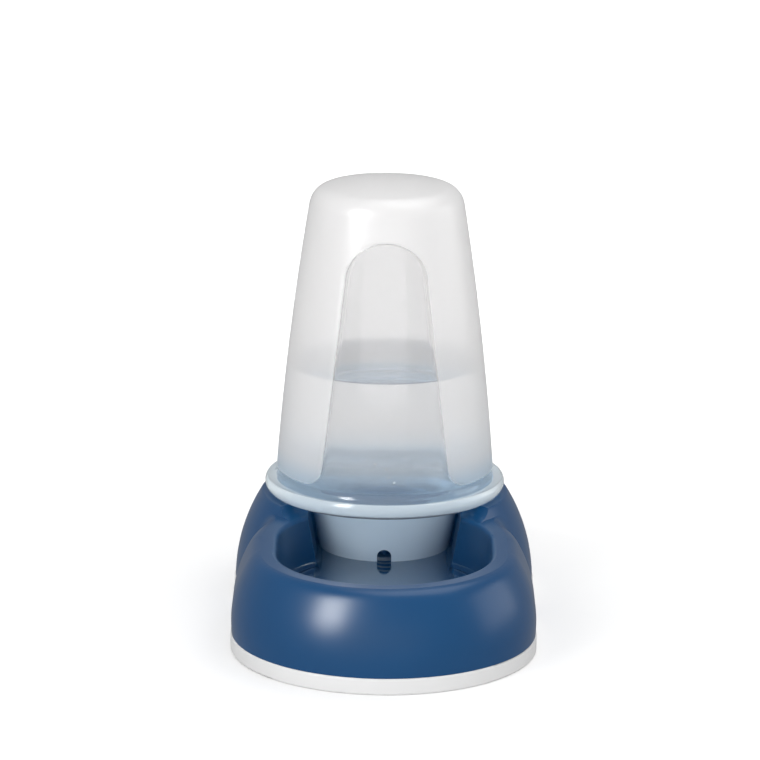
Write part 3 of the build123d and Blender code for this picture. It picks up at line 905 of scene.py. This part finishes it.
def make_floor():
    """A wide white floor that keeps the object's shadow; mirrored in the object it is dim."""
    half = FLOOR_HALF
    corners = [(-half, -half, 0), (half, -half, 0), (half, half, 0), (-half, half, 0)]
    mesh = bpy.data.meshes.new("floor")
    mesh.from_pydata(corners, [], [(0, 1, 2, 3)])
    floor = bpy.data.objects.new("floor", mesh)
    bpy.context.scene.collection.objects.link(floor)
    material, tree, output = new_material("white_floor")
    shade = add_node(tree, "ShaderNodeBsdfDiffuse")
    shade.inputs["Color"].default_value = (0.80, 0.80, 0.80, 1)
    glow = add_node(tree, "ShaderNodeEmission")
    seen, mirror = seen_rays(tree)
    strength = add_node(tree, "ShaderNodeMath", operation="MULTIPLY")
    tree.links.new(floor_glow(tree), strength.inputs[0])
    tree.links.new(seen, strength.inputs[1])
    tree.links.new(strength.outputs[0], glow.inputs["Strength"])
    both = add_node(tree, "ShaderNodeAddShader")
    tree.links.new(shade.outputs["BSDF"], both.inputs[0])
    tree.links.new(glow.outputs["Emission"], both.inputs[1])
    dim = add_node(tree, "ShaderNodeEmission")
    dim.inputs["Strength"].default_value = MIRRORED
    mirrored = add_node(tree, "ShaderNodeMixShader")
    tree.links.new(mirror, mirrored.inputs["Fac"])
    tree.links.new(both.outputs["Shader"], mirrored.inputs[1])
    tree.links.new(dim.outputs["Emission"], mirrored.inputs[2])
    tree.links.new(mirrored.outputs["Shader"], output.inputs["Surface"])
    mesh.materials.append(material)


def make_world():
    """White surroundings to look at, dim ones to mirror and an even light on the object."""
    world = bpy.data.worlds.new("studio")
    world.use_nodes = True
    tree = world.node_tree
    tree.nodes.clear()
    output = add_node(tree, "ShaderNodeOutputWorld")
    back = add_node(tree, "ShaderNodeBackground")
    back.inputs["Color"].default_value = (1, 1, 1, 1)
    seen, mirror = seen_rays(tree)
    strength = add_node(tree, "ShaderNodeMix", data_type="FLOAT")
    strength.inputs["B"].default_value = MIRRORED
    tree.links.new(mirror, strength.inputs["Factor"])
    tree.links.new(blend_value(tree, seen, AMBIENT, 1.0), strength.inputs["A"])
    tree.links.new(strength.outputs["Result"], back.inputs["Strength"])
    tree.links.new(back.outputs["Background"], output.inputs["Surface"])
    bpy.context.scene.world = world


def place_camera():
    """Puts the camera where the photograph was taken from."""
    data = bpy.data.cameras.new("camera")
    data.lens = CAMERA_LENS
    data.sensor_width = 36.0
    data.clip_start = 0.05
    data.clip_end = 50.0
    camera = bpy.data.objects.new("camera", data)
    bpy.context.scene.collection.objects.link(camera)
    level = CAMERA_AIM.cross(Vector((0, 0, 1))).normalized()
    rise = level.cross(CAMERA_AIM).normalized()
    right = level * math.cos(CAMERA_ROLL) + rise * math.sin(CAMERA_ROLL)
    up = rise * math.cos(CAMERA_ROLL) - level * math.sin(CAMERA_ROLL)
    turn = Matrix((right, up, -CAMERA_AIM)).transposed().to_4x4()
    camera.matrix_world = Matrix.Translation(CAMERA_PLACE * MM) @ turn
    bpy.context.scene.camera = camera


def add_lamp(name, place, size, power, diffuse=True, glossy=True):
    """A rectangular soft lamp that looks at the object, for its light, its mirror image or both."""
    data = bpy.data.lights.new(name, "AREA")
    data.shape = "RECTANGLE"
    data.size, data.size_y = size
    data.energy = power
    lamp = bpy.data.objects.new(name, data)
    bpy.context.scene.collection.objects.link(lamp)
    lamp.location = place
    aim = Vector(LAMP_TARGET) - Vector(place)
    lamp.rotation_euler = aim.to_track_quat("-Z", "Y").to_euler()
    lamp.visible_diffuse = diffuse
    lamp.visible_glossy = glossy


# Pieces
for node, material in (
    ("base_shell", BLUE),
    ("nonslip_ring", WHITE),
    ("closure_gasket", SILICONE),
    ("valve_plate", BLUE),
    ("valve_seal", SILICONE),
    ("spring_retainer", FROSTED),
):
    dress(node, material)
dress_closure()

tank_points, tank_faces, clear_faces, back_faces = tank_mesh()
add_lugs(tank_points, tank_faces)
tank = make_piece("tank_wall", tank_points, tank_faces, MILKY, "tank", "clear_plastic")
tank.data.materials.append(WINDOW)
tank.data.materials.append(BACK)
for index in clear_faces:
    tank.data.polygons[index].material_index = 1
for index in back_faces:
    tank.data.polygons[index].material_index = 2
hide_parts("tank")

make_piece("tank_water", *turned(tank_water_profile()), WATER, "tank")
make_piece("bowl_water", *bowl_water_mesh(), BOWL_SURFACE, "base")

spring = make_piece("spring_coil", *spring_mesh(), STEEL, slot="spring_steel")
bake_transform(spring)
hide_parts("valve_spring")

bubble_y = TANK_Y - side_radius(BUBBLE_HEIGHT, WALL) + BUBBLE_Y
BUBBLES = (
    ((-5.7, bubble_y, 92.5), 1.0),
    ((0.6, bubble_y, 89.1), 0.8),
    ((2.4, bubble_y, 84.4), 0.7),
    ((5.3, bubble_y, 81.1), 1.1),
    ((9.9, bubble_y, 88.4), 0.7),
)
make_piece("air_bubbles", *bubble_mesh(BUBBLES), BUBBLE, "tank")

place_camera()
make_floor()
make_world()
add_lamp("key", KEY_PLACE, size=(0.6, 1.1), power=8)
add_lamp("overhead", (0.45, 0.1, 1.9), size=(1.6, 1.6), power=16)
add_lamp("front", (-0.1, -2.1, 0.36), size=(2.4, 0.7), power=15, glossy=False)
add_lamp("streak", KEY_PLACE, size=(0.34, 1.0), power=50, diffuse=False)
add_lamp("sheen", (2.2, 0.3, 0.4), size=(1.6, 1.6), power=14, diffuse=False)
scene = bpy.context.scene
scene.view_settings.view_transform = "Standard"
scene.cycles.max_bounces = 24
scene.cycles.transmission_bounces = 24
scene.cycles.caustics_reflective = False
scene.cycles.caustics_refractive = False
